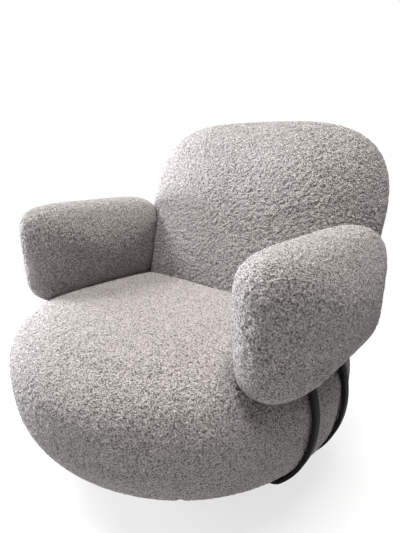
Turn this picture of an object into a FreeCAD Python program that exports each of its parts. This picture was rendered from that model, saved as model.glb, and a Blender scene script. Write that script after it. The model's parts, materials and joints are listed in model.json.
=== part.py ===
import FreeCAD, Part
import math
import os

from FreeCAD import Vector

# A round swivel armchair: a pouf seat, a leaning back pillow and two arm pads on bent steel bars.
# Millimetres. Z is up, the sitter faces -Y, and the origin is on the floor on the swivel axis.
# Right is +X, as the chair is seen from its front.

# Clearances
soft_gap = 0.3          # between a cushion and what it rests on or presses against
fit_gap = 0.3           # between flat pieces that move past each other
bore_gap = 0.4          # round a fastener's shank, on the radius
pivot_gap = 0.08        # round the pivot bolt, on the radius
thread_gap = 0.05       # round a screw's shank in the piece that it bites, on the radius
cut_margin = 1.0        # how far a cutting shape runs past what it cuts

# Seat cushion, a round pouf
seat_radius = 424.0     # plan radius at the belly
belly_height = 244.0    # level of the widest ring
crown_rise = 157.0      # belly to the top of the crown
tuck_pole = 29.0        # level of the pole that the tucked-in underside heads for
crown_fullness = 3.4    # superellipse power above the belly
tuck_fullness = 2.67    # superellipse power below the belly
underside = 95.0        # level of the frame's flat underside
underside_roll = 18.0   # how far the cover rolls in along the underside
underside_rise = 6.0    # how far it has risen where the roll starts
seam_angle = 42.0       # upright seams, measured from the front and from the rear
seam_depth = 4.0        # how far a seam draws the cover in

# Back pillow
back_side_inset = 59.0  # belly to the pillow's sides, in plan
back_half_height = 310.0
back_half_depth = 108.0
back_outline = 3.5      # superellipse power of the front view
back_crown = 2.3        # superellipse power of the thickness
back_inset = 180.0      # belly to the pillow's centre, in plan
back_lift = 114.0       # seat crown to the pillow's centre
back_lean = 14.0        # degrees, top to the rear
back_seat = 50.0        # padding left under the pillow, over the seat board

# Arm pads
arm_half_length = 223.0
arm_half_height = 131.5
arm_half_depth = 97.5
arm_outline = 5.4
arm_crown = 2.25
arm_inset = 80.0        # belly to the pad's centre, in plan
arm_y = -9.5
arm_lift = 73.5         # seat crown to the pad's centre
arm_tilt = 5.1          # degrees, top inwards
arm_pitch = 2.0         # degrees, rear end up
arm_yaw = 1.3           # degrees, rear end outwards

# Bent steel bars that carry the arm pads
bar_width = 20.0
bar_thick = 8.0
bar_middle = -31.0      # y midway between the front and the rear bar
bar_spacing = 124.0
bar_stand_off = 1.0     # bar's inner face to the pouf's belly
bar_sweep = 230.0       # centre-line radius round the belly
bar_bend = 40.0         # centre-line radius of the bend under the seat
bar_kick = 60.0         # centre-line radius of the bend inside the pad
bar_over_belly = 4.0    # belly to the level where the bar stands furthest out
bar_entry = 112.0       # from that level to the end of the sweep, inside the pad
bar_tail = 110.0        # straight length under the bottom board
bar_shank = 130.0       # straight length on the arm board
bar_screw_inset = 30.0  # bar end to its screw, at both ends

# Boards
board_thick = 18.0
bottom_inset = 99.0     # belly to the bottom board's rim, in plan
seat_board_inset = 106.0
seat_board_level = 232.0
seat_rim = 103.0        # width of the seat board round its hole
hole_rear_inset = 294.0 # belly to the hole's straight rear edge, in plan
post_size = 40.0
post_count = 8
post_inset = 33.0       # rim of the seat board to a post's middle
arm_board_thick = 15.0
arm_padding = 73.0      # arm board to the pad's ends
arm_board_over = 10.0   # arm board past the ends of the bars' straight length
arm_board_corner = 30.0
back_padding_side = 85.0
back_padding_top = 80.0
back_padding_low = 120.0
back_board_corner = 110.0
back_rail = 65.0

# Webbing and foam
strap_width = 50.0
strap_thick = 2.0
strap_lap = 25.0        # strap end on the board beside the hole
seat_straps = 4         # each way
back_straps_up = 4
back_straps_across = 3
foam_inset = 18.0       # rim of the seat board to the foam
foam_lap = 30.0         # foam behind the hole's rear edge
foam_thick = 35.0

# Back brackets, two bent flats between the seat board and the back board
bracket_inset = 215.0   # back pillow's side to a bracket's middle
bracket_width = 50.0
bracket_thick = 6.0
bracket_bend = 14.0
bracket_foot = 75.0
bracket_rise = 205.0
bracket_screw_inset = 30.0

# Swivel base
pad_side = 32.0
pad_height = 6.0
pad_count = 6
pad_inset = 28.0        # rim of the base plate to a pad's middle
base_radius = 240.0
base_thick = 8.0
base_chamfer = 2.0
pedestal_radius = 112.0
pedestal_wall = 4.0
slide_inset = 6.0       # pedestal's wall to the slide ring
slide_width = 34.0
slide_thick = 4.7
swivel_over = 8.0       # swivel plate's sides past the pedestal
swivel_thick = 8.0
swivel_corner = 25.0
swivel_screw_inset = 24.5
pivot_radius = 10.0
pivot_head_flats = 36.0
pivot_head_height = 12.0
nut_flats = 36.0
nut_height = 14.0
wrench_room = 22.0      # round the nut, in the bottom board

# Screws
screw_radius = 4.0
screw_head_flats = 13.0
screw_head_height = 5.5
screw_cover = 5.0       # board left past a screw's point
pilot_spare = 1.0       # hole left past a screw's point

# Bands of the lofted forms
seat_bands_up = 8
seat_bands_down = 5
seat_panel_steps = 13   # lines across one of the pouf's four panels
pillow_bands = 12
pillow_steps = 40       # lines round a pillow's outline
crown_cap = 82.0        # degrees of the crown's last ring, where the pole is capped flat

origin = Vector(0, 0, 0)
axis_x = Vector(1, 0, 0)
axis_y = Vector(0, 1, 0)
axis_z = Vector(0, 0, 1)

# Places that follow
base_top = pad_height + base_thick
swivel_level = underside - swivel_thick
pedestal_top = swivel_level - fit_gap - slide_thick
nut_level = underside + fit_gap
bottom_top = underside + board_thick
bottom_radius = seat_radius - bottom_inset
seat_board_radius = seat_radius - seat_board_inset
seat_hole_radius = seat_board_radius - seat_rim
seat_hole_rear = seat_radius - hole_rear_inset
seat_board_top = seat_board_level + board_thick
foam_level = seat_board_top + 2 * (strap_thick + soft_gap)
foam_top = foam_level + foam_thick
crown_level = belly_height + crown_rise
tuck_drop = belly_height - tuck_pole
back_half_width = seat_radius - back_side_inset
bracket_x = back_half_width - bracket_inset
back_y = seat_radius - back_inset
back_z = crown_level + back_lift
back_foot = seat_board_top + back_seat
back_board_width = 2 * (back_half_width - back_padding_side)
back_board_low = back_padding_low - back_half_height
back_board_high = back_half_height - back_padding_top
arm_x = seat_radius - arm_inset
arm_z = crown_level + arm_lift
arm_board_length = 2 * (arm_half_length - arm_padding)
arm_board_height = bar_shank + 2 * arm_board_over
bar_height = belly_height + bar_over_belly
bar_ys = (bar_middle - bar_spacing / 2, bar_middle + bar_spacing / 2)
swivel_half = pedestal_radius + swivel_over
screw_bite = board_thick - screw_cover
arm_screw_bite = arm_board_thick - screw_cover


def power(value, exponent):
    return math.copysign(abs(value) ** exponent, value)


def squircle_point(half_u, half_v, fullness, angle, level):
    """A point on a superellipse, in the plane at the given level."""
    turn = math.radians(angle)
    u = half_u * power(math.cos(turn), 2 / fullness)
    v = half_v * power(math.sin(turn), 2 / fullness)
    return Vector(u, v, level)


def squircle_ring(half_u, half_v, fullness, level):
    turns = [360 * (step + 0.5) / pillow_steps for step in range(pillow_steps)]
    return [squircle_point(half_u, half_v, fullness, turn, level) for turn in turns]


def panel(points):
    return Part.Face(Part.makePolygon(points + points[:1]))


def skinned(rings):
    """A loft through rings of straight lines, as many in each, closed at both ends."""
    panels = [panel(rings[0]), panel(rings[-1])]
    for low, high in zip(rings, rings[1:]):
        for step in range(len(low)):
            panels.append(panel([low[step - 1], low[step], high[step], high[step - 1]]))
    return Part.makeSolid(Part.makeShell(panels))


def pillow(half_u, half_v, half_w, outline, crown):
    """A closed pillow about the origin: outline in XY, thickness along Z."""
    rings = []
    for band in range(pillow_bands + 1):
        turn = math.radians(crown_cap * (2 * band / pillow_bands - 1))
        share = math.cos(turn) ** (2 / crown)
        level = half_w * power(math.sin(turn), 2 / crown)
        rings.append(squircle_ring(half_u * share, half_v * share, outline, level))
    return skinned(rings)


def polar(radius, angle, level=0.0):
    turn = math.radians(angle)
    return Vector(radius * math.cos(turn), radius * math.sin(turn), level)


def seat_ring(radius, level):
    """One level of the pouf: four panels that swell between the upright seams."""
    seams = [-90 - seam_angle, -90 + seam_angle, 90 - seam_angle, 90 + seam_angle, 270 - seam_angle]
    points = []
    for start, end in zip(seams, seams[1:]):
        for step in range(seat_panel_steps):
            share = step / seat_panel_steps
            pull = seam_depth / seat_radius * (1 - math.sin(math.pi * share)) ** 2
            points.append(polar(radius * (1 - pull), start + (end - start) * share, level))
    return points


def pouf():
    """The seat's outer form, from the rolled-in underside to the crown."""
    cover_level = underside + soft_gap
    share_down = (belly_height - cover_level) / tuck_drop
    lowest = math.asin(share_down ** (tuck_fullness / 2))
    foot_radius = seat_radius * math.cos(lowest) ** (2 / tuck_fullness)
    rings = [seat_ring(foot_radius - underside_roll, cover_level)]
    for band in range(seat_bands_down, 0, -1):
        turn = lowest * band / seat_bands_down
        radius = seat_radius * math.cos(turn) ** (2 / tuck_fullness)
        level = belly_height - tuck_drop * math.sin(turn) ** (2 / tuck_fullness)
        if band == seat_bands_down:
            level += underside_rise
        rings.append(seat_ring(radius, level))
    for band in range(seat_bands_up + 1):
        turn = math.radians(crown_cap * band / seat_bands_up)
        radius = seat_radius * math.cos(turn) ** (2 / crown_fullness)
        level = belly_height + crown_rise * math.sin(turn) ** (2 / crown_fullness)
        rings.append(seat_ring(radius, level))
    return skinned(rings)


def place_back(shape):
    """Stands a piece drawn flat (X across, Y up the lean, Z to the front) in the back's place."""
    shape.rotate(origin, axis_x, 90 - back_lean)
    shape.translate(Vector(0, back_y, back_z))
    return shape


def place_arm(shape):
    """Stands a piece drawn flat (X to the rear, Y up, Z outwards) in the right arm's place."""
    shape.rotate(origin, Vector(1, 1, 1), 120)
    shape.rotate(origin, axis_x, arm_pitch)
    shape.rotate(origin, axis_y, -arm_tilt)
    shape.rotate(origin, axis_z, -arm_yaw)
    shape.translate(Vector(arm_x, arm_y, arm_z))
    return shape


def mirrored(shape):
    return shape.mirror(origin, axis_x)


def cylinder(radius, low, high, x=0.0, y=0.0):
    return Part.makeCylinder(radius, high - low, Vector(x, y, low))


def block(x0, x1, y0, y1, z0, z1):
    return Part.makeBox(x1 - x0, y1 - y0, z1 - z0, Vector(x0, y0, z0))


def hexagon(flats, height, base):
    """A hexagonal prism on the XY plane, standing on the level base."""
    corners = [polar(flats / math.sqrt(3), 60 * side, base) for side in range(7)]
    return Part.Face(Part.makePolygon(corners)).extrude(Vector(0, 0, height))


def clipped_slab(width, low, high, corner, thick):
    """A flat panel in XY with clipped corners, centred on Z = 0."""
    half = width / 2
    across = [(half, low + corner), (half, high - corner), (half - corner, high), (corner - half, high),
              (-half, high - corner), (-half, low + corner), (corner - half, low), (half - corner, low)]
    outline = panel([Vector(x, y, -thick / 2) for x, y in across])
    return outline.extrude(Vector(0, 0, thick))


def screw(seat, direction, through, bite):
    """A hexagon screw: its head under seat, its shank along direction through one piece and into the next."""
    shank = cylinder(screw_radius, 0, through + bite)
    head = hexagon(screw_head_flats, screw_head_height, -screw_head_height)
    return aimed(shank.fuse(head).removeSplitter(), seat, direction)


def drill(seat, direction, depth, radius):
    """A hole along direction, to be cut from what lies past seat."""
    return aimed(cylinder(radius, -cut_margin, depth), seat, direction)


def clearance_hole(thick):
    """Makes a screw's hole right through a piece of that thickness."""
    return lambda seat, direction: drill(seat, direction, thick + cut_margin, screw_radius + bore_gap)


def pilot_hole(through, bite):
    """Makes the hole for a screw that stops in the second piece."""
    depth = through + bite + pilot_spare
    return lambda seat, direction: drill(seat, direction, depth, screw_radius + thread_gap)


def bite_screw(through, bite):
    return lambda seat, direction: screw(seat, direction, through, bite)


def aimed(shape, seat, direction):
    """Turns a shape drawn along +Z to a direction, with its origin moved to seat."""
    shape.Placement = FreeCAD.Placement(seat, FreeCAD.Rotation(axis_z, direction))
    return shape


class Walk:
    """The centre-line of a bent flat bar in the XZ plane, as straight runs and turns."""

    def __init__(self, x, z, heading):
        self.point = Vector(x, 0, z)
        self.heading = heading
        self.legs = []

    def along(self):
        return polar_xz(1, self.heading)

    def left(self):
        return polar_xz(1, self.heading + 90)

    def run(self, length):
        start = self.point
        normal = self.left()
        self.point = start + self.along() * length
        self.legs.append([(start, normal), (self.point, normal)])

    def turn(self, radius, degrees):
        """Turns left for positive degrees and right for negative ones."""
        side = math.copysign(1, degrees)
        centre = self.point + self.left() * radius * side
        leg = [(self.point, self.left())]
        for _ in range(2):
            self.heading += degrees / 2
            normal = self.left()
            leg.append((centre - normal * radius * side, normal))
        self.point = leg[-1][0]
        self.legs.append(leg)

    def seat(self, leg, inset, thick):
        """A screw's seat on the right-hand face and its direction, at a distance from a free end."""
        (start, normal), (end, _) = self.legs[leg]
        along = (end - start).normalize()
        place = start + along * inset if leg == 0 else end - along * inset
        return place - normal * thick / 2, normal

    def strip(self, thick, width):
        """The bar itself, centred on the line and on Y = 0."""
        near = [[point + normal * thick / 2 for point, normal in leg] for leg in self.legs]
        far = [[point - normal * thick / 2 for point, normal in leg] for leg in self.legs]
        edges = [side_edge(points) for points in near]
        edges.append(side_edge([near[-1][-1], far[-1][-1]]))
        edges += [side_edge(points[::-1]) for points in far[::-1]]
        edges.append(side_edge([far[0][0], near[0][0]]))
        flat = Part.Face(Part.Wire(edges))
        flat.translate(Vector(0, -width / 2, 0))
        return flat.extrude(Vector(0, width, 0))


def polar_xz(radius, angle):
    turn = math.radians(angle)
    return Vector(radius * math.cos(turn), 0, radius * math.sin(turn))


def side_edge(points):
    if len(points) == 2:
        return Part.LineSegment(points[0], points[1]).toShape()
    return Part.Arc(*points).toShape()


def bar_reach(y):
    """How far out the bar's centre-line stands at its widest, for a bar in the plane y."""
    return math.sqrt(seat_radius ** 2 - y ** 2) + bar_stand_off + bar_thick / 2


def bar_walk(y):
    """From the tail under the bottom board, round the belly and up into the right pad."""
    tail_level = underside - bar_thick / 2
    bend_level = tail_level + bar_bend
    lean = math.asin((bar_height - bend_level) / (bar_sweep - bar_bend))
    bend_x = bar_reach(y) - bar_sweep + (bar_sweep - bar_bend) * math.cos(lean)
    rise = math.degrees(math.asin(bar_entry / bar_sweep))
    walk = Walk(bend_x - bar_tail, tail_level, 0)
    walk.run(bar_tail)
    walk.turn(bar_bend, 90 - math.degrees(lean))
    walk.turn(bar_sweep, math.degrees(lean) + rise)
    walk.turn(bar_kick, arm_tilt - rise)
    walk.run(bar_shank)
    return walk


def arm_bar(y):
    walk = bar_walk(y)
    bar = walk.strip(bar_thick, bar_width)
    hole = clearance_hole(bar_thick)
    for leg in (0, -1):
        bar = bar.cut(hole(*walk.seat(leg, bar_screw_inset, bar_thick)))
    bar.translate(Vector(0, y, 0))
    return bar


def bar_slot(y):
    """The room that a bar takes in its pad, and in the pouf's cover where it presses on it."""
    slot = bar_walk(y).strip(bar_thick + 2 * soft_gap, bar_width + 2 * soft_gap)
    slot.translate(Vector(0, y, 0))
    return slot


def bar_end_shapes(leg, make):
    """One shape at the end of each right bar: leg 0 is the tail, leg -1 the end on the arm board."""
    shapes = []
    for y in bar_ys:
        shape = make(*bar_walk(y).seat(leg, bar_screw_inset, bar_thick))
        shape.translate(Vector(0, y, 0))
        shapes.append(shape)
    return shapes


def shank_middle(y):
    (start, _), (end, _) = bar_walk(y).legs[-1]
    middle = (start + end) * 0.5
    return Vector(middle.x, y, middle.z)


def board_yaw():
    """The arm board lies against both bars, so it turns with the difference between their reaches."""
    step = shank_middle(bar_ys[1]).x - shank_middle(bar_ys[0]).x
    return math.degrees(math.atan2(step, bar_spacing))


def beside_bars(shape, offset):
    """Stands a slab drawn flat at the bars' straight ends, its middle offset inwards of their middle."""
    shape.translate(Vector(0, 0, -offset))
    shape.rotate(origin, Vector(1, 1, 1), 120)
    shape.rotate(origin, axis_y, -arm_tilt)
    shape.rotate(origin, axis_z, -board_yaw())
    shape.translate((shank_middle(bar_ys[0]) + shank_middle(bar_ys[1])) * 0.5)
    return shape


def board_back_off():
    """The bars stay square while the board turns, which takes this much room at a bar's edge."""
    return bar_width / 2 * math.tan(math.radians(abs(board_yaw()))) + soft_gap / 2


def arm_board():
    height = arm_board_height
    board = clipped_slab(arm_board_length, -height / 2, height / 2, arm_board_corner, arm_board_thick)
    board = beside_bars(board, (bar_thick + arm_board_thick) / 2 + board_back_off())
    return board.cut(bar_end_shapes(-1, pilot_hole(bar_thick, arm_screw_bite)))


def arm_hollow():
    """The room in the right pad for its board, the bars' ends and the screw heads."""
    length = arm_board_length + 2 * soft_gap
    height = arm_board_height + 2 * soft_gap
    outer = bar_thick / 2 + screw_head_height + board_back_off() + soft_gap
    inner = bar_thick / 2 + board_back_off() + arm_board_thick + soft_gap
    slab = clipped_slab(length, -height / 2, height / 2, arm_board_corner, outer + inner)
    return beside_bars(slab, (inner - outer) / 2)


def arm_cushion():
    cushion = arm_form().cut(arm_hollow())
    for y in bar_ys:
        cushion = cushion.cut(bar_slot(y))
    return cushion


def back_plane_y(level):
    """The y of the back's middle plane at a level."""
    return back_y - (back_z - level) * math.tan(math.radians(back_lean))


def bracket_walk():
    """A bracket in its own plane, X to the rear: a foot on the seat board and an upright behind."""
    level = seat_board_top + bracket_thick / 2
    behind = (board_thick + bracket_thick) / 2 / math.cos(math.radians(back_lean))
    turn = 90 + back_lean
    corner = back_plane_y(level) + behind
    reach = bracket_bend * math.tan(math.radians(turn / 2))
    walk = Walk(corner + reach + bracket_foot, level, 180)
    walk.run(bracket_foot)
    walk.turn(bracket_bend, -turn)
    walk.run(bracket_rise)
    return walk


def in_bracket_plane(shape):
    """Turns a piece drawn in the XZ plane so that its X runs to the rear, at the right bracket."""
    shape.rotate(origin, axis_z, 90)
    shape.translate(Vector(bracket_x, 0, 0))
    return shape


def bracket_end(leg, make):
    """A shape at an end of the right bracket: leg 0 is the foot, leg -1 the upright."""
    return in_bracket_plane(make(*bracket_walk().seat(leg, bracket_screw_inset, bracket_thick)))


def back_bracket():
    bracket = in_bracket_plane(bracket_walk().strip(bracket_thick, bracket_width))
    hole = clearance_hole(bracket_thick)
    return bracket.cut([bracket_end(0, hole), bracket_end(-1, hole)])


def back_form(grow=0.0):
    """The back pillow's outer form, cut flat where it stands in its pocket in the seat."""
    form = pillow(back_half_width + grow, back_half_height + grow, back_half_depth + grow,
                  back_outline, back_crown)
    form = place_back(form)
    return form.cut(block(-seat_radius, seat_radius, -seat_radius, seat_radius, 0, back_foot - grow))


def arm_form(grow=0.0):
    form = pillow(arm_half_length + grow, arm_half_height + grow, arm_half_depth + grow,
                  arm_outline, arm_crown)
    return place_arm(form)


def back_board():
    """A ring of plywood that carries the back's webbing."""
    outer = clipped_slab(back_board_width, back_board_low, back_board_high, back_board_corner, board_thick)
    inner = clipped_slab(back_board_width - 2 * back_rail, back_board_low + back_rail,
                         back_board_high - back_rail, back_board_corner - back_rail / 2,
                         board_thick + 2 * cut_margin)
    board = place_back(outer.cut(inner))
    hole = bracket_end(-1, pilot_hole(bracket_thick, screw_bite))
    return board.cut([hole, mirrored(hole)])


def back_hollow():
    """The room in the back pillow for its board, webbing and brackets."""
    front = board_thick / 2 + 2 * strap_thick + 2 * soft_gap
    rear = board_thick / 2 + bracket_thick + screw_head_height + soft_gap
    slab = clipped_slab(back_board_width + 2 * soft_gap, back_board_low - soft_gap,
                        back_board_high + soft_gap, back_board_corner, front + rear)
    slab.translate(Vector(0, 0, (front - rear) / 2))
    half = bracket_width / 2 + soft_gap
    slot = block(bracket_x - half, bracket_x + half, -back_half_height, 0, -rear, 0)
    return place_back(slab.fuse([slot, mirrored(slot)]))


def back_cushion():
    cushion = back_form().cut(back_hollow())
    arm = arm_form(soft_gap)
    return cushion.cut([arm, mirrored(arm)])


def back_webbing(count, across):
    """Webbing on the front of the back board, spread evenly over the opening."""
    width = back_board_width - 2 * back_rail + 2 * strap_lap
    height = back_board_high - back_board_low - 2 * back_rail + 2 * strap_lap
    middle = (back_board_high + back_board_low) / 2
    front = board_thick / 2
    straps = []
    for index in range(count):
        place = (index + 1) / (count + 1) - 0.5
        if across:
            centre = middle + place * (height - 2 * strap_lap)
            lift = front + strap_thick + soft_gap
            strap = block(-width / 2, width / 2, centre - strap_width / 2, centre + strap_width / 2,
                          lift, lift + strap_thick)
        else:
            centre = place * (width - 2 * strap_lap)
            strap = block(centre - strap_width / 2, centre + strap_width / 2, middle - height / 2,
                          middle + height / 2, front, front + strap_thick)
        straps.append(place_back(strap))
    return Part.makeCompound(straps)


def d_shape(radius, rear, low, high):
    """A disc with a straight rear edge."""
    disc = cylinder(radius, low, high)
    return disc.cut(block(-radius, radius, rear, radius + cut_margin, low - cut_margin, high + cut_margin))


def seat_board():
    board = cylinder(seat_board_radius, seat_board_level, seat_board_top)
    board = board.cut(d_shape(seat_hole_radius, seat_hole_rear, seat_board_level - cut_margin,
                              seat_board_top + cut_margin))
    hole = bracket_end(0, pilot_hole(bracket_thick, screw_bite))
    return board.cut([hole, mirrored(hole)])


def seat_straps_along():
    """Webbing from front to rear, straight on the board."""
    straps = []
    for index in range(seat_straps):
        x = seat_hole_radius * ((2 * index + 1) / seat_straps - 1)
        front = -math.sqrt(seat_hole_radius ** 2 - x ** 2) - strap_lap
        straps.append(block(x - strap_width / 2, x + strap_width / 2, front, seat_hole_rear + strap_lap,
                            seat_board_top, seat_board_top + strap_thick))
    return Part.makeCompound(straps)


def seat_straps_across():
    """Webbing from side to side, over the straps that run from front to rear."""
    straps = []
    low = seat_board_top + strap_thick + soft_gap
    span = seat_hole_radius + seat_hole_rear
    for index in range(seat_straps):
        y = -seat_hole_radius + span * (index + 0.5) / seat_straps
        half = math.sqrt(seat_hole_radius ** 2 - y ** 2) + strap_lap
        straps.append(block(-half, half, y - strap_width / 2, y + strap_width / 2, low, low + strap_thick))
    return Part.makeCompound(straps)


def seat_cushion():
    """The pouf, hollow over its frame, with pockets for the back pillow and the arm pads."""
    board_radius = max(bottom_radius, seat_board_radius)
    frame_room = cylinder(board_radius + soft_gap, underside - cut_margin, seat_board_top + soft_gap)
    foam_room = d_shape(foam_radius() + soft_gap, seat_hole_rear + foam_lap + soft_gap,
                        seat_board_top, foam_top + soft_gap)
    walk = bracket_walk()
    foot_end = walk.legs[0][0][0].x + soft_gap
    front = back_plane_y(seat_board_top) - board_thick / 2
    half = bracket_width / 2 + soft_gap
    slot = block(bracket_x - half, bracket_x + half, front, foot_end, seat_board_top, back_foot)
    right = [slot, arm_form(soft_gap)] + [bar_slot(y) for y in bar_ys]
    left = [mirrored(shape) for shape in right]
    return pouf().cut([frame_room, foam_room, back_form(soft_gap)] + right + left)


def foam_radius():
    return seat_board_radius - foam_inset


def seat_foam():
    return d_shape(foam_radius(), seat_hole_rear + foam_lap, foam_level, foam_top)


def bottom_board():
    board = cylinder(bottom_radius, underside, bottom_top)
    board = board.cut(cylinder(nut_flats / 2 + wrench_room, underside - cut_margin, bottom_top + cut_margin))
    tail_holes = bar_end_shapes(0, pilot_hole(bar_thick, screw_bite))
    return board.cut(tail_holes + [mirrored(hole) for hole in tail_holes]
                     + swivel_screw_shapes(pilot_hole(swivel_thick, screw_bite)))


def frame_posts():
    half = post_size / 2
    posts = []
    for index in range(post_count):
        post = block(-half, half, -half, half, bottom_top, seat_board_level)
        post.translate(Vector(seat_board_radius - post_inset, 0, 0))
        post.rotate(origin, axis_z, 360 * (index + 0.5) / post_count)
        posts.append(post)
    return Part.makeCompound(posts)


def base_plate():
    """A steel disc with a chamfered upper rim."""
    disc = cylinder(base_radius, pad_height, base_top)
    rim = [edge for edge in disc.Edges if edge.Closed and edge.BoundBox.ZMin > base_top - base_chamfer]
    return disc.makeChamfer(base_chamfer, rim)


def base_pads():
    """Square felt pads under the base plate."""
    half = pad_side / 2
    circle = base_radius - pad_inset
    pads = []
    for index in range(pad_count):
        pad = block(circle - half, circle + half, -half, half, 0, pad_height)
        pad.rotate(origin, axis_z, 360 * (index + 0.5) / pad_count)
        pads.append(pad)
    return Part.makeCompound(pads)


def pedestal():
    """A pressed steel drum, welded to the base plate: an upright wall and a flat deck."""
    drum = cylinder(pedestal_radius, base_top, pedestal_top)
    deck_low = pedestal_top - pedestal_wall
    drum = drum.cut(cylinder(pedestal_radius - pedestal_wall, base_top - cut_margin, deck_low))
    return drum.cut(cylinder(pivot_radius + pivot_gap, deck_low - cut_margin, pedestal_top + cut_margin))


def swivel_plate():
    """A square steel plate under the bottom board, turning on the pivot bolt."""
    plate = clipped_slab(2 * swivel_half, -swivel_half, swivel_half, swivel_corner, swivel_thick)
    plate.translate(Vector(0, 0, swivel_level + swivel_thick / 2))
    bore = cylinder(pivot_radius + pivot_gap, swivel_level - cut_margin, underside + cut_margin)
    return plate.cut([bore] + swivel_screw_shapes(clearance_hole(swivel_thick)))


def slide_ring():
    outer = pedestal_radius - slide_inset
    top = pedestal_top + slide_thick
    ring = cylinder(outer, pedestal_top, top)
    return ring.cut(cylinder(outer - slide_width, pedestal_top - cut_margin, top + cut_margin))


def pivot_bolt():
    head_low = pedestal_top - pedestal_wall - pivot_head_height
    head = hexagon(pivot_head_flats, pivot_head_height, head_low)
    shank = cylinder(pivot_radius, head_low, nut_level + nut_height)
    return head.fuse(shank).removeSplitter()


def pivot_nut():
    nut = hexagon(nut_flats, nut_height, nut_level)
    bore = cylinder(pivot_radius + thread_gap, nut_level - cut_margin, nut_level + nut_height + cut_margin)
    return nut.cut(bore)


def swivel_screw_shapes(make):
    """One shape at each screw up through the swivel plate into the bottom board."""
    place = swivel_half - swivel_screw_inset
    corners = [(place, place), (-place, place), (-place, -place), (place, -place)]
    return [make(Vector(x, y, swivel_level), axis_z) for x, y in corners]


def both_sides(shapes):
    return Part.makeCompound(shapes + [mirrored(shape) for shape in shapes])


parts = {
    "base_pads": base_pads(),
    "base_plate": base_plate(),
    "pedestal": pedestal(),
    "slide_ring": slide_ring(),
    "pivot_bolt": pivot_bolt(),
    "pivot_nut": pivot_nut(),
    "swivel_plate": swivel_plate(),
    "swivel_plate_screws": Part.makeCompound(swivel_screw_shapes(bite_screw(swivel_thick, screw_bite))),
    "bottom_board": bottom_board(),
    "frame_posts": frame_posts(),
    "seat_board": seat_board(),
    "seat_straps_along": seat_straps_along(),
    "seat_straps_across": seat_straps_across(),
    "seat_foam": seat_foam(),
    "seat_cushion": seat_cushion(),
    "back_brackets": both_sides([back_bracket()]),
    "bracket_foot_screws": both_sides([bracket_end(0, bite_screw(bracket_thick, screw_bite))]),
    "bracket_back_screws": both_sides([bracket_end(-1, bite_screw(bracket_thick, screw_bite))]),
    "back_board": back_board(),
    "back_straps_up": back_webbing(back_straps_up, False),
    "back_straps_across": back_webbing(back_straps_across, True),
    "back_cushion": back_cushion(),
    "tail_screws": both_sides(bar_end_shapes(0, bite_screw(bar_thick, screw_bite))),
    "arm_board_screws": both_sides(bar_end_shapes(-1, bite_screw(bar_thick, arm_screw_bite))),
}
for place, y in zip(("front", "rear"), bar_ys):
    bar = arm_bar(y)
    parts["right_" + place + "_arm_bar"] = bar
    parts["left_" + place + "_arm_bar"] = mirrored(bar)
for name, shape in (("arm_board", arm_board()), ("arm_cushion", arm_cushion())):
    parts["right_" + name] = shape
    parts["left_" + name] = mirrored(shape)

os.makedirs("parts", exist_ok=True)
for name, shape in parts.items():
    shape.exportStep("parts/" + name + ".step")
    print(name, "solids", len(shape.Solids), "valid", shape.isValid(), "litres", round(shape.Volume / 1e6, 3))
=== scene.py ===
# %% [markdown]
# # A round swivel armchair in curly fabric
#
# The chair is four pieces of upholstery on a hidden frame: a pouf for the seat, a big
# pillow for the back, and two arm pads held up by bent flat bars. The frame comes from
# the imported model, which fixes every size. Blender gives it cloth, steel and light.

# %% Load the frame
import json
import math

import bmesh
import bpy
import numpy as np
from mathutils import Matrix, Vector


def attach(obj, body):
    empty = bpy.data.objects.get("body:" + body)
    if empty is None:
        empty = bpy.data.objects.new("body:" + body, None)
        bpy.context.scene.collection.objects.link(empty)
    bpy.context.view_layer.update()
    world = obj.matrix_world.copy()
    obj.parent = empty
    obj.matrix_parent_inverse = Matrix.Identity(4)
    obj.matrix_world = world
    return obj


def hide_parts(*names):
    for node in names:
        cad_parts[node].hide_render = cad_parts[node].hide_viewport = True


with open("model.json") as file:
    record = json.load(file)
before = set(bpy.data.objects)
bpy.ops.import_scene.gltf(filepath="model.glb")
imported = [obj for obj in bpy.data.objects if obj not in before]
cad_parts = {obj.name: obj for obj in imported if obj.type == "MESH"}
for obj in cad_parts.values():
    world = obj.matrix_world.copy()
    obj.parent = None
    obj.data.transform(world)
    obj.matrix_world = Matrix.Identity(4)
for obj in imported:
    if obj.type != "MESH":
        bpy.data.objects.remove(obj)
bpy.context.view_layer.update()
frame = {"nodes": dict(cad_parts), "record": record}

scene = bpy.context.scene

# %% [markdown]
# ## The camera
#
# The chair was seen from above its front right corner through a short lens, about 25 mm
# on a full frame, from less than a metre and a half away. That is why the near arm pad
# looks so large. A camera is a place, a direction and a roll, so its matrix is built from
# those three, and a small vertical shift keeps the uprights of the picture where they were.

# %% Place the camera
camera_place = Vector((0.58817, -0.65479, 0.70811))
camera_azimuth = math.radians(39.11)
camera_elevation = math.radians(24.52)
camera_roll = math.radians(2.405)

away = Vector((math.sin(camera_azimuth) * math.cos(camera_elevation),
               -math.cos(camera_azimuth) * math.cos(camera_elevation),
               math.sin(camera_elevation)))
level_right = Vector((math.cos(camera_azimuth), math.sin(camera_azimuth), 0))
level_up = away.cross(level_right)
right = level_right * math.cos(camera_roll) + level_up * math.sin(camera_roll)
up = level_up * math.cos(camera_roll) - level_right * math.sin(camera_roll)

camera = bpy.data.objects.new("camera", bpy.data.cameras.new("camera"))
scene.collection.objects.link(camera)
turn = Matrix((right, up, away)).transposed().to_4x4()
camera.matrix_world = Matrix.Translation(camera_place) @ turn
camera.data.sensor_width = 36
camera.data.lens = 24.56
camera.data.shift_x = -0.0004
camera.data.shift_y = 0.1195
camera.data.clip_start = 0.05
scene.camera = camera
print("camera looks along", [round(-part, 3) for part in away])

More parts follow.
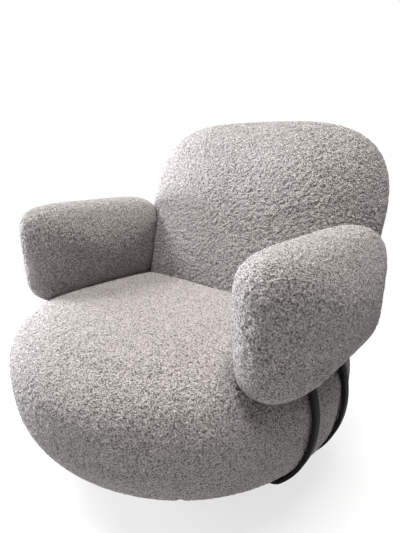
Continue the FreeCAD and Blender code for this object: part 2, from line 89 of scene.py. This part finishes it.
# %% [markdown]
# ## Light and floor
#
# A lamp high on the left lights the crown of the seat and the tops of the pads, a lower one
# reaches the left of the pouf, a third hangs overhead, and all leave the right-hand faces
# in shade. The world adds an even grey fill, and only the camera sees it white. The floor
# is pale, shows the chair's soft shadow, and runs out into a white world, so no edge shows.

# %% Light the chair
def area_lamp(name, place, target, size, power, colour):
    lamp = bpy.data.lights.new(name, "AREA")
    lamp.shape = "DISK"
    lamp.size = size
    lamp.energy = power
    lamp.color = colour
    holder = bpy.data.objects.new(name, lamp)
    scene.collection.objects.link(holder)
    aim = (Vector(target) - Vector(place)).to_track_quat("-Z", "Y").to_matrix().to_4x4()
    holder.matrix_world = Matrix.Translation(place) @ aim
    return holder


window_lamp = area_lamp("window_lamp", (-3.4, -0.9, 3.5), (0, 0, 0.3), 2.0, 315, (0.99, 0.99, 1.0))
side_lamp = area_lamp("side_lamp", (-2.6, -0.45, 0.30), (0, 0, 0.22), 1.0, 215, (0.90, 0.95, 1.0))
top_lamp = area_lamp("top_lamp", (0.4, -0.3, 5.0), (0, 0, 0.4), 1.8, 265, (1.0, 0.96, 0.93))

world = bpy.data.worlds.new("studio")
world.use_nodes = True
scene.world = world
sky = world.node_tree.nodes
sky_links = world.node_tree.links
fill = sky["Background"]
fill.inputs["Color"].default_value = (0.92, 0.96, 1.0, 1)
fill.inputs["Strength"].default_value = 0.22
white = sky.new("ShaderNodeBackground")
white.inputs["Color"].default_value = (1, 1, 1, 1)
white.inputs["Strength"].default_value = 1.0
seen = sky.new("ShaderNodeLightPath")
choose = sky.new("ShaderNodeMixShader")
sky_links.new(seen.outputs["Is Camera Ray"], choose.inputs[0])
sky_links.new(fill.outputs[0], choose.inputs[1])
sky_links.new(white.outputs[0], choose.inputs[2])
sky_links.new(choose.outputs[0], sky["World Output"].inputs["Surface"])

scene.view_settings.view_transform = "Standard"
print("lamps:", window_lamp.name, side_lamp.name, top_lamp.name)

# %% Lay the floor
floor_mesh = bmesh.new()
bmesh.ops.create_grid(floor_mesh, x_segments=1, y_segments=1, size=30)
floor = bpy.data.objects.new("floor", bpy.data.meshes.new("floor"))
floor_mesh.to_mesh(floor.data)
floor_mesh.free()
scene.collection.objects.link(floor)

pale_floor = bpy.data.materials.new("pale_floor")
pale_floor.use_nodes = True
nodes, links = pale_floor.node_tree.nodes, pale_floor.node_tree.links
nodes.remove(nodes["Principled BSDF"])
matt = nodes.new("ShaderNodeBsdfDiffuse")
matt.inputs["Color"].default_value = (0.62, 0.62, 0.62, 1)
paper = nodes.new("ShaderNodeBsdfDiffuse")
paper.inputs["Color"].default_value = (0.9, 0.9, 0.9, 1)
glow = nodes.new("ShaderNodeEmission")
glow.inputs["Color"].default_value = (1, 1, 1, 1)
glow.inputs["Strength"].default_value = 1.0
lifted = nodes.new("ShaderNodeMixShader")
far = nodes.new("ShaderNodeVectorMath")
far.operation = "LENGTH"
where = nodes.new("ShaderNodeTexCoord")
fade = nodes.new("ShaderNodeMapRange")
fade.inputs["From Min"].default_value = 0.5
fade.inputs["From Max"].default_value = 1.6
fade.inputs["To Min"].default_value = 0.72
fade.inputs["To Max"].default_value = 1.0
links.new(where.outputs["Object"], far.inputs[0])
links.new(far.outputs["Value"], fade.inputs["Value"])
links.new(fade.outputs[0], lifted.inputs[0])
links.new(paper.outputs[0], lifted.inputs[1])
links.new(glow.outputs[0], lifted.inputs[2])
seen = nodes.new("ShaderNodeLightPath")
choose = nodes.new("ShaderNodeMixShader")
links.new(seen.outputs["Is Camera Ray"], choose.inputs[0])
links.new(matt.outputs[0], choose.inputs[1])
links.new(lifted.outputs[0], choose.inputs[2])
links.new(choose.outputs[0], nodes["Material Output"].inputs["Surface"])
floor.data.materials.append(pale_floor)
print("floor laid at z = 0")

# %% [markdown]
# ## Curly fabric
#
# Bouclé is woven from looped yarn. Up close it is a carpet of little curls. Two layers of Voronoi
# cells, pushed about by noise, make the curls, and squiggles along the contour lines of another
# noise make the loops. The same height drives the colour and the bump: the gaps are deep, and the
# colour darkens from the pale tops of the curls to nearly black in the gaps as painted shade.

# %% A helper for node materials
def node_material(name):
    """An empty node material: the material, a function that adds a node, and its links."""
    material = bpy.data.materials.new(name)
    material.use_nodes = True
    tree = material.node_tree

    def add(kind, **settings):
        node = tree.nodes.new("ShaderNode" + kind)
        for key, value in settings.items():
            if key in node.inputs:
                node.inputs[key].default_value = value
            else:
                setattr(node, key, value)
        return node

    return material, add, tree.links


def shader_of(material):
    return material.node_tree.nodes["Principled BSDF"]


# %% Make the curly fabric
curl_size = 0.0032

curly, add, link = node_material("curly_fabric")
place = add("TexCoord")
wander = add("TexNoise", Scale=190, Detail=1.0)
push = add("VectorMath", operation="MULTIPLY_ADD")
push.inputs[1].default_value = (0.004, 0.004, 0.004)
link.new(place.outputs["Object"], wander.inputs["Vector"])
link.new(wander.outputs["Color"], push.inputs[0])
link.new(place.outputs["Object"], push.inputs[2])

curls = add("TexVoronoi", Scale=1 / curl_size, Randomness=1.0)
fine = add("TexVoronoi", Scale=1.9 / curl_size, Randomness=1.0)
loops = add("TexNoise", Scale=0.85 / curl_size, Detail=1.0)
for layer in (curls, fine, loops):
    link.new(push.outputs[0], layer.inputs["Vector"])

ring = add("Math", operation="SUBTRACT")
ring.inputs[1].default_value = 0.5
ridge = add("Math", operation="ABSOLUTE")
link.new(loops.outputs[0], ring.inputs[0])
link.new(ring.outputs[0], ridge.inputs[0])

depth = add("Math", operation="MULTIPLY_ADD")
depth.inputs[1].default_value = 0.55
link.new(fine.outputs["Distance"], depth.inputs[0])
link.new(curls.outputs["Distance"], depth.inputs[2])
deeper = add("Math", operation="MULTIPLY_ADD")
deeper.inputs[1].default_value = 2.2
link.new(ridge.outputs[0], deeper.inputs[0])
link.new(depth.outputs[0], deeper.inputs[2])

height = add("MapRange")
height.inputs["From Min"].default_value = 1.35
height.inputs["From Max"].default_value = 0.40
link.new(deeper.outputs[0], height.inputs["Value"])

# Painted shade: this ramp darkens the pale yarn colour to nearly black in the gaps between the
# curls, where shade falls.
yarn_and_gap_shade = add("ValToRGB")
yarn_and_gap_shade.color_ramp.elements[0].position = 0.0
yarn_and_gap_shade.color_ramp.elements[0].color = (0.095, 0.087, 0.083, 1)
yarn_and_gap_shade.color_ramp.elements[1].position = 1.0
yarn_and_gap_shade.color_ramp.elements[1].color = (0.720, 0.670, 0.650, 1)
middle = yarn_and_gap_shade.color_ramp.elements.new(0.45)
middle.color = (0.400, 0.370, 0.358, 1)
link.new(height.outputs[0], yarn_and_gap_shade.inputs["Fac"])

bump = add("Bump", Strength=1.0, Distance=0.0028)
link.new(height.outputs[0], bump.inputs["Height"])
boucle = shader_of(curly)
link.new(yarn_and_gap_shade.outputs["Color"], boucle.inputs["Base Color"])
link.new(bump.outputs["Normal"], boucle.inputs["Normal"])
boucle.inputs["Roughness"].default_value = 0.95
boucle.inputs["Specular IOR Level"].default_value = 0.15
boucle.inputs["Sheen Weight"].default_value = 0.35
boucle.inputs["Sheen Roughness"].default_value = 0.5
print("curls about", curl_size * 1000, "mm apart")

# %% [markdown]
# ## The shape of a pillow
#
# A stuffed pillow is a superellipsoid: seen from the front it is a rounded rectangle,
# and its thickness swells smoothly from the edge to the middle. One number sets how
# square the outline is and another how full the crown. `fullness_at` gives the same
# measure everywhere in space: 1 on the surface, less inside and more outside. It shapes
# the start mesh, and later it says where one cushion has to make room for another.

# %% Describe the four cushions
class Pillow:
    def __init__(self, half_size, outline, crown, place):
        self.half_size = np.array(half_size)
        self.outline = outline
        self.crown = crown
        self.place = place
        self.inverse = place.inverted()

    def fullness_at(self, points):
        own = to_frame(points, self.inverse)
        across, along, through = (np.abs(own) / self.half_size).T
        rim = (across ** self.outline + along ** self.outline) ** (self.crown / self.outline)
        return (rim + through ** self.crown) ** (1 / self.crown)

    def centre(self):
        return np.array(self.place.translation)


class Pouf:
    radius = 0.424
    belly = 0.244
    crown_rise = 0.157
    tuck_drop = 0.215
    crown_fullness = 3.4
    tuck_fullness = 2.67

    def fullness_at(self, points):
        out = np.hypot(points[:, 0], points[:, 1]) / self.radius
        rise = points[:, 2] - self.belly
        above = (out ** self.crown_fullness + np.clip(rise / self.crown_rise, 0, None)
                 ** self.crown_fullness) ** (1 / self.crown_fullness)
        below = (out ** self.tuck_fullness + np.clip(-rise / self.tuck_drop, 0, None)
                 ** self.tuck_fullness) ** (1 / self.tuck_fullness)
        return np.where(rise > 0, above, below)

    def centre(self):
        return np.array((0, 0, self.belly))


def to_frame(points, matrix):
    turn = np.array(matrix.to_3x3())
    return points @ turn.T + np.array(matrix.translation)


underside = 0.0953
back_foot = 0.300
pouf = Pouf()
back_lean = 14
back_place = (Matrix.Translation((0, 0.244, 0.515))
              @ Matrix.Rotation(math.radians(90 - back_lean), 4, "X"))
back = Pillow((0.365, 0.310, 0.108), 3.5, 2.3, back_place)

arm_half_size = (0.223, 0.1315, 0.0975)
arm_outline, arm_crown = 5.4, 2.25
arm_yaw, arm_tilt, arm_pitch = 1.3, 5.1, 2.0
arm_place = (Matrix.Translation((0.344, -0.0095, 0.4745))
             @ Matrix.Rotation(math.radians(-arm_yaw), 4, "Z")
             @ Matrix.Rotation(math.radians(-arm_tilt), 4, "Y")
             @ Matrix.Rotation(math.radians(arm_pitch), 4, "X")
             @ Matrix.Rotation(math.radians(120), 4, Vector((1, 1, 1))))
right_arm = Pillow(arm_half_size, arm_outline, arm_crown, arm_place)
flip = Matrix.Scale(-1, 4, (1, 0, 0))
left_arm = Pillow(arm_half_size, arm_outline, arm_crown, flip @ arm_place)
print("pouf", pouf.radius * 2, "m across; back centred at", [round(v, 3) for v in back.centre()])

# %% [markdown]
# ## Start meshes
#
# Each cushion starts as a cube cut into a fine grid. Every corner is then moved along its
# own ray from the middle until it lies on the cushion's surface, which is one division by
# the fullness there. The start is a few millimetres slack, because air fills it later.

# %% Make a start mesh
slack = 0.004


def start_mesh(name, form, cuts, shrink, centre_matrix):
    mesh = bmesh.new()
    bmesh.ops.create_cube(mesh, size=0.2)
    bmesh.ops.subdivide_edges(mesh, edges=mesh.edges, cuts=cuts, use_grid_fill=True)
    bmesh.ops.transform(mesh, matrix=centre_matrix, verts=mesh.verts)
    centre = form.centre()
    rays = np.array([corner.co for corner in mesh.verts]) - centre
    surface = rays / form.fullness_at(centre + rays)[:, None]
    lengths = np.linalg.norm(surface, axis=1)[:, None]
    surface *= (lengths - shrink) / lengths
    for corner, point in zip(mesh.verts, surface):
        corner.co = centre + point
    bmesh.ops.recalc_face_normals(mesh, faces=mesh.faces)
    piece = bpy.data.objects.new(name, bpy.data.meshes.new(name))
    mesh.to_mesh(piece.data)
    mesh.free()
    scene.collection.objects.link(piece)
    return piece


def apply_modifiers(piece):
    depsgraph = bpy.context.evaluated_depsgraph_get()
    finished = bpy.data.meshes.new_from_object(piece.evaluated_get(depsgraph))
    piece.modifiers.clear()
    piece.data = finished


def carve(piece, *tools):
    """Takes the shape of each tool out of a piece, and throws the tools away."""
    for tool in tools:
        cut = piece.modifiers.new("carve", "BOOLEAN")
        cut.operation = "DIFFERENCE"
        cut.solver = "EXACT"
        cut.object = tool
    apply_modifiers(piece)
    for tool in tools:
        bpy.data.objects.remove(tool)


def box_tool(low, high):
    mesh = bmesh.new()
    middle = [(a + b) / 2 for a, b in zip(low, high)]
    sides = [b - a for a, b in zip(low, high)]
    bmesh.ops.create_cube(mesh, size=1)
    bmesh.ops.scale(mesh, vec=sides, verts=mesh.verts)
    bmesh.ops.translate(mesh, vec=middle, verts=mesh.verts)
    tool = bpy.data.objects.new("tool", bpy.data.meshes.new("tool"))
    mesh.to_mesh(tool.data)
    mesh.free()
    scene.collection.objects.link(tool)
    return tool


upright = Matrix.Translation(pouf.centre())
contact_gap = 0.0008
large_cuts, arm_cuts = 40, 32    # cuts along an edge of the start cube
far_out = 0.6                    # past the chair on every side


def room_for(form, matrix):
    """A tool the shape of another cushion, slightly grown, to be carved from its neighbour."""
    return start_mesh("tool", form, large_cuts, -contact_gap, matrix)


seat_cushion = start_mesh("seat_cushion_cover", pouf, large_cuts, slack, upright)
carve(seat_cushion, room_for(back, back_place), room_for(right_arm, arm_place),
      room_for(left_arm, flip @ arm_place),
      box_tool((-far_out, -far_out, -0.2), (far_out, far_out, underside)))
back_cushion = start_mesh("back_cushion_cover", back, large_cuts, slack, back_place)
carve(back_cushion, room_for(right_arm, arm_place), room_for(left_arm, flip @ arm_place),
      box_tool((-far_out, -far_out, -0.2), (far_out, far_out, back_foot)))
arm_cushion = start_mesh("right_arm_cushion_cover", right_arm, arm_cuts, slack, arm_place)
print("start faces:", [len(piece.data.polygons)
                       for piece in (seat_cushion, back_cushion, arm_cushion)])

# %% [markdown]
# ## Filling the cushions
#
# The start mesh is remeshed into even squares of cloth, and the Cloth solver blows it up
# with a little air. Where a cushion presses on a neighbour or on the frame the cloth is
# held. How far a point may end from the cushion's true surface is capped, so the chair
# keeps its measured size, and points that reach into a neighbour are pushed back out.
# The big flat back swells the most and is capped, the seat swells a little, and the small
# stiff arm pads hardly swell at all, so there it is the cap that sets the surface.

# %% Fill a cushion with air
frames = 16
air_pressure = 4
least_full, most_full = 0.992, 1.004    # fullness that a free point may end at


def corners_of(mesh):
    flat = np.empty(len(mesh.vertices) * 3)
    mesh.vertices.foreach_get("co", flat)
    return flat.reshape(-1, 3)


def set_corners(mesh, points):
    mesh.vertices.foreach_set("co", points.ravel())
    mesh.update()


def remesh(piece, size):
    even = piece.modifiers.new("even", "REMESH")
    even.mode = "VOXEL"
    even.voxel_size = size
    apply_modifiers(piece)


def blow_up(piece, held):
    """Runs the Cloth solver with air pressure; held is a true/false list of points that stay."""
    group = piece.vertex_groups.new(name="held")
    group.add([int(index) for index in np.flatnonzero(held)], 1.0, "REPLACE")
    cloth = piece.modifiers.new("air", "CLOTH")
    cloth.settings.quality = 4
    cloth.settings.use_pressure = True
    cloth.settings.uniform_pressure_force = air_pressure
    cloth.settings.effector_weights.gravity = 0
    cloth.settings.vertex_group_mass = "held"
    cloth.point_cache.frame_start = 1
    cloth.point_cache.frame_end = frames
    for step in range(1, frames + 1):
        scene.frame_set(step)
    depsgraph = bpy.context.evaluated_depsgraph_get()
    points = corners_of(piece.evaluated_get(depsgraph).data)
    piece.modifiers.remove(cloth)
    piece.vertex_groups.clear()
    scene.frame_set(1)
    return points


def keep_near(points, form, free, least, most):
    """Slides free points along their rays so that their fullness lies between two limits."""
    rays = points - form.centre()
    fullness = form.fullness_at(points)
    wanted = np.clip(fullness, least, most)
    factor = np.where(free, wanted / fullness, 1.0)
    return form.centre() + rays * factor[:, None]


def push_clear(points, form, gap):
    """Moves points out of a neighbour, straight up the slope of its fullness."""
    for _ in range(4):
        fullness = form.fullness_at(points)
        inside = fullness < 1.25
        near = points[inside]
        step = 1e-4
        slope = np.stack([form.fullness_at(near + step * axis) - fullness[inside]
                          for axis in np.eye(3)], axis=1) / step
        steepness = np.maximum(np.linalg.norm(slope, axis=1), 1e-6)
        missing = (1 - fullness[inside]) / steepness + gap
        move = np.clip(missing, 0, 0.02)[:, None] * slope / steepness[:, None]
        points[inside] = near + move
    return points


def fill_cushion(piece, form, cell, neighbours, lowest):
    remesh(piece, cell)
    start = corners_of(piece.data)
    resting = start[:, 2] < lowest + cell / 2
    for other in neighbours:
        resting |= other.fullness_at(start) < 1.0 + 2 * cell
    points = blow_up(piece, resting)
    print(piece.name, "fullness", form.fullness_at(start)[~resting].mean().round(4),
          "then", form.fullness_at(points)[~resting].mean().round(4))
    points = keep_near(points, form, ~resting, least_full, most_full)
    for other in neighbours:
        points = push_clear(points, other, contact_gap)
    set_corners(piece.data, points)
    print(piece.name, len(start), "points, held", int(resting.sum()),
          "moved at most", round(1000 * float(np.abs(points - start).max()), 1), "mm")


cell = 0.006
fill_cushion(seat_cushion, pouf, cell, [back, right_arm, left_arm], underside)
fill_cushion(back_cushion, back, cell, [right_arm, left_arm], back_foot)
fill_cushion(arm_cushion, right_arm, cell, [], 0)

# %% [markdown]
# ## Seams on the pouf
#
# The pouf's cover is sewn from four panels, and its upright seams pull the cloth in along a narrow
# line. The points beside a seam plane move inwards by a bell curve, at full depth below the crown
# and fading on it, where the sewing disappears in the pile.

# %% Draw in the seams
seam_angle = 42
seam_depth = 0.0035
seam_width = 0.006
seam_top, seam_fade = 0.385, 0.05    # where a seam ends on the crown, and over what height


def seam_pull(points):
    """How strongly each point is drawn in by the nearest seam, from 0 to 1."""
    around = np.degrees(np.arctan2(points[:, 0], -points[:, 1]))
    pull = np.zeros(len(points))
    for angle in (-seam_angle, seam_angle, 180 - seam_angle, seam_angle - 180):
        aside = np.radians((around - angle + 180) % 360 - 180)
        distance = np.abs(aside) * np.hypot(points[:, 0], points[:, 1])
        pull = np.maximum(pull, np.exp(-(distance / seam_width) ** 2))
    return pull * np.clip((seam_top - points[:, 2]) / seam_fade, 0, 1)


points = corners_of(seat_cushion.data)
pull = seam_pull(points)
inwards = points * [1, 1, 0]
inwards /= -np.maximum(np.linalg.norm(inwards, axis=1), 1e-6)[:, None]
set_corners(seat_cushion.data, points + inwards * (pull * seam_depth)[:, None])
print("seam points:", int((pull > 0.5).sum()))

# %% [markdown]
# ## Room for the frame
#
# The pouf is upholstered over a wooden drum, so its underside is open where the drum and
# the swivel sit. A cylinder carved from the filled cushion leaves that room.

# %% Open the pouf's underside
def cylinder_tool(radius, low, high):
    mesh = bmesh.new()
    place = Matrix.Translation((0, 0, (low + high) / 2))
    bmesh.ops.create_cone(mesh, cap_ends=True, segments=96, radius1=radius, radius2=radius,
                          depth=high - low, matrix=place)
    tool = bpy.data.objects.new("tool", bpy.data.meshes.new("tool"))
    mesh.to_mesh(tool.data)
    mesh.free()
    scene.collection.objects.link(tool)
    return tool


frame_room = 0.3253
seat_board_top = 0.2503
carve(seat_cushion, cylinder_tool(frame_room, -0.1, seat_board_top))
print("seat cover faces:", len(seat_cushion.data.polygons))

# %% [markdown]
# ## The nap of the cloth
#
# One subdivision makes the cloth fine enough to carry the larger curls as real bumps, and
# that roughens the outline, which a bump map can't do. A dozen waves in random directions
# add up to an even, cloudy field, and its zero lines wander like loops of yarn.

# %% Raise the curls
rng = np.random.default_rng(7)
loop_width = 0.0062
loop_height = 0.0021
directions = rng.normal(size=(14, 3))
directions /= np.linalg.norm(directions, axis=1)[:, None]
phases = rng.uniform(0, 2 * math.pi, 14)


def loops_at(points):
    """1 on a loop and 0 in the gaps between the loops."""
    waves = np.sin(points @ directions.T * (2 * math.pi / (2 * loop_width)) + phases)
    cloud = waves.sum(axis=1) / math.sqrt(7)
    return np.exp(-(cloud / 0.6) ** 2)


def raise_curls(piece):
    mesh = piece.data
    cloth = bmesh.new()
    cloth.from_mesh(mesh)
    bmesh.ops.subdivide_edges(cloth, edges=cloth.edges, cuts=1, use_grid_fill=True)
    cloth.to_mesh(mesh)
    cloth.free()
    points = corners_of(mesh)
    normals = np.empty(len(points) * 3)
    mesh.vertices.foreach_get("normal", normals)
    lift = (loops_at(points) - 0.5) * loop_height
    set_corners(mesh, points + normals.reshape(-1, 3) * lift[:, None])
    mesh.materials.clear()
    mesh.materials.append(curly)
    mesh.polygons.foreach_set("use_smooth", [True] * len(mesh.polygons))
    print(piece.name, len(mesh.polygons), "faces")


left_arm_cushion = bpy.data.objects.new("left_arm_cushion_cover", arm_cushion.data.copy())
scene.collection.objects.link(left_arm_cushion)
mirror = bmesh.new()
mirror.from_mesh(left_arm_cushion.data)
bmesh.ops.transform(mirror, matrix=flip, verts=mirror.verts)
bmesh.ops.reverse_faces(mirror, faces=mirror.faces)
mirror.to_mesh(left_arm_cushion.data)
mirror.free()

cushions = {"seat_cushion": (seat_cushion, 0.9), "back_cushion": (back_cushion, 0.85),
            "right_arm_cushion": (arm_cushion, 0.9), "left_arm_cushion": (left_arm_cushion, 0.9)}
for node, (piece, filling) in cushions.items():
    raise_curls(piece)
    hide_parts(node)
    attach(piece, "chair")

# %% [markdown]
# ## The arm bars
#
# Each arm pad hangs on two flat steel bars, 20 by 8 mm. A bar runs under the seat, turns
# up round the belly in one wide sweep and ends inside the pad. Its centre line is straight
# runs and turns, walked one after the other, and a rounded rectangle follows the walk.

# %% Walk along a bar
bar_width, bar_thick, bar_edge = 0.020, 0.008, 0.0012
bar_stand_off = 0.001
bar_sweep, bar_bend, bar_kick = 0.230, 0.040, 0.060
bar_height = 0.248
bar_ys = {"front": -0.093, "rear": 0.031}
frame_underside = 0.095
bar_entry, bar_tail, bar_shank = 0.112, 0.110, 0.130


def direction(degrees):
    return Vector((math.cos(math.radians(degrees)), 0, math.sin(math.radians(degrees))))


def walk_bar(y):
    """Points along a right bar's centre line, each with the direction of its outward side."""
    reach = math.sqrt(pouf.radius ** 2 - y ** 2) + bar_stand_off + bar_thick / 2
    tail_level = frame_underside - bar_thick / 2
    lean = math.asin((bar_height - tail_level - bar_bend) / (bar_sweep - bar_bend))
    bend_x = reach - bar_sweep + (bar_sweep - bar_bend) * math.cos(lean)
    rise = math.degrees(math.asin(bar_entry / bar_sweep))
    point, heading = Vector((bend_x - bar_tail, y, tail_level)), 0
    line = [(point, direction(heading - 90))]
    point = point + direction(heading) * bar_tail
    turns = [(bar_bend, 90 - math.degrees(lean), 14), (bar_sweep, math.degrees(lean) + rise, 40),
             (bar_kick, arm_tilt - rise, 10)]
    for radius, degrees, steps in turns:
        side = math.copysign(1, degrees)
        centre = point + direction(heading + 90) * radius * side
        for step in range(steps + 1):
            turned = heading + degrees * step / steps
            line.append((centre - direction(turned + 90) * radius * side, direction(turned - 90)))
        point, heading = line[-1][0], heading + degrees
    line.append((point + direction(heading) * bar_shank, direction(heading - 90)))
    return line


# %% Bend the steel bars
def bar_section():
    """A rounded rectangle: thickness first, then width."""
    corners = []
    for quarter, (side_t, side_w) in enumerate(((1, 1), (-1, 1), (-1, -1), (1, -1))):
        for step in range(4):
            turn = math.radians(90 * quarter + 30 * step)
            corners.append((side_t * (bar_thick / 2 - bar_edge) + bar_edge * math.cos(turn),
                            side_w * (bar_width / 2 - bar_edge) + bar_edge * math.sin(turn)))
    return corners


def bend_bar(name, y, matrix):
    mesh = bmesh.new()
    rings = [[mesh.verts.new(point + outward * thick + Vector((0, wide, 0)))
              for thick, wide in bar_section()] for point, outward in walk_bar(y)]
    for near, next_ring in zip(rings, rings[1:]):
        for corner in range(len(near)):
            mesh.faces.new((near[corner - 1], near[corner],
                            next_ring[corner], next_ring[corner - 1]))
    mesh.faces.new(rings[0])
    mesh.faces.new(rings[-1])
    bmesh.ops.transform(mesh, matrix=matrix, verts=mesh.verts)
    bmesh.ops.recalc_face_normals(mesh, faces=mesh.faces)
    bar = bpy.data.objects.new(name, bpy.data.meshes.new(name))
    mesh.to_mesh(bar.data)
    mesh.free()
    scene.collection.objects.link(bar)
    sides = [len(face.vertices) == 4 for face in bar.data.polygons]
    bar.data.polygons.foreach_set("use_smooth", sides)
    return bar


bars = {}
for place, y in bar_ys.items():
    for side, matrix in (("right", Matrix.Identity(4)), ("left", flip)):
        node = side + "_" + place + "_arm_bar"
        bars[node] = bend_bar(node + "_steel", y, matrix)
        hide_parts(node)
        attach(bars[node], "chair")
print("bars:", len(bars), "each with", len(bars["right_front_arm_bar"].data.polygons), "faces")

# %% [markdown]
# ## Painted steel, plywood and the hidden stuff
#
# The bars have a matt black powder coat: nearly no highlight, only a fine orange-peel
# grain. The rest of the frame is hidden in use, but each piece still gets the surface
# that it has in a workshop: birch plywood, woven webbing, foam, felt, nylon and zinc.

# %% Mix the materials
def coated_steel(name, shade, roughness):
    """Powder-coated steel: a dark coat with the faint grain of baked powder."""
    coat, add, link = node_material(name)
    place = add("TexCoord")
    grain = add("TexNoise", Scale=900, Detail=2.0)
    bump = add("Bump", Strength=0.12, Distance=0.0004)
    link.new(place.outputs["Object"], grain.inputs["Vector"])
    link.new(grain.outputs[0], bump.inputs["Height"])
    link.new(bump.outputs["Normal"], shader_of(coat).inputs["Normal"])
    shader_of(coat).inputs["Base Color"].default_value = (shade, shade, shade, 1)
    shader_of(coat).inputs["Roughness"].default_value = roughness
    shader_of(coat).inputs["Specular IOR Level"].default_value = 0.2
    return coat


def two_tone(name, pattern, low, high, roughness, depth=0.0):
    """A surface that runs between two colours by a pattern, and can be embossed by it."""
    surface, add, link = node_material(name)
    place = add("TexCoord")
    colours = add("ValToRGB")
    colours.color_ramp.elements[0].color = (*low, 1)
    colours.color_ramp.elements[1].color = (*high, 1)
    shade = pattern(add, link, place.outputs["Object"])
    link.new(shade, colours.inputs["Fac"])
    link.new(colours.outputs["Color"], shader_of(surface).inputs["Base Color"])
    shader_of(surface).inputs["Roughness"].default_value = roughness
    if depth:
        bump = add("Bump", Strength=0.5, Distance=depth)
        link.new(shade, bump.inputs["Height"])
        link.new(bump.outputs["Normal"], shader_of(surface).inputs["Normal"])
    return surface


def wood_grain(add, link, place):
    stretch = add("Mapping")
    stretch.inputs["Scale"].default_value = (4, 90, 90)
    grain = add("TexNoise", Scale=3.0, Detail=5.0, Distortion=1.2)
    link.new(place, stretch.inputs["Vector"])
    link.new(stretch.outputs["Vector"], grain.inputs["Vector"])
    return grain.outputs[0]


def weave(add, link, place):
    threads = add("TexWave", Scale=160, Distortion=0.6)
    link.new(place, threads.inputs["Vector"])
    return threads.outputs["Fac"]


def cells(size):
    def pores(add, link, place):
        holes = add("TexVoronoi", Scale=1 / size)
        link.new(place, holes.inputs["Vector"])
        return holes.outputs["Distance"]
    return pores


bar_black = coated_steel("black_powder_coat", 0.004, 0.65)
base_black = coated_steel("base_powder_coat", 0.016, 0.48)
plywood = two_tone("birch_plywood", wood_grain, (0.50, 0.33, 0.18), (0.72, 0.54, 0.34), 0.6, 0.0002)
webbing = two_tone("elastic_webbing", weave, (0.09, 0.085, 0.08), (0.20, 0.19, 0.175), 0.9, 0.0004)
foam = two_tone("cut_foam", cells(0.0015), (0.60, 0.56, 0.45), (0.80, 0.77, 0.66), 0.95, 0.0003)
felt = two_tone("grey_felt", cells(0.0010), (0.10, 0.10, 0.10), (0.22, 0.21, 0.20), 1.0, 0.0003)
nylon = two_tone("pale_nylon", cells(0.0020), (0.66, 0.65, 0.61), (0.72, 0.71, 0.67), 0.4)
zinc = two_tone("zinc_plate", cells(0.0040), (0.52, 0.53, 0.55), (0.68, 0.69, 0.70), 0.32)
shader_of(zinc).inputs["Metallic"].default_value = 1.0
print("materials:", len(bpy.data.materials))

# %% Dress the frame's own pieces
finishes = {"upholstery": curly, "arm_bar_steel": bar_black, "base_steel": base_black,
            "frame_wood": plywood, "webbing": webbing, "foam": foam, "felt": felt,
            "slide_plastic": nylon, "fastener_steel": zinc}
slot_of = {piece["node"]: piece["material_slot"] for piece in frame["record"]["subparts"]}
for node, piece in frame["nodes"].items():
    piece.data.materials.clear()
    piece.data.materials.append(finishes[slot_of[node]])
for bar in bars.values():
    bar.data.materials.append(bar_black)
print("dressed nodes:", len(frame["nodes"]))
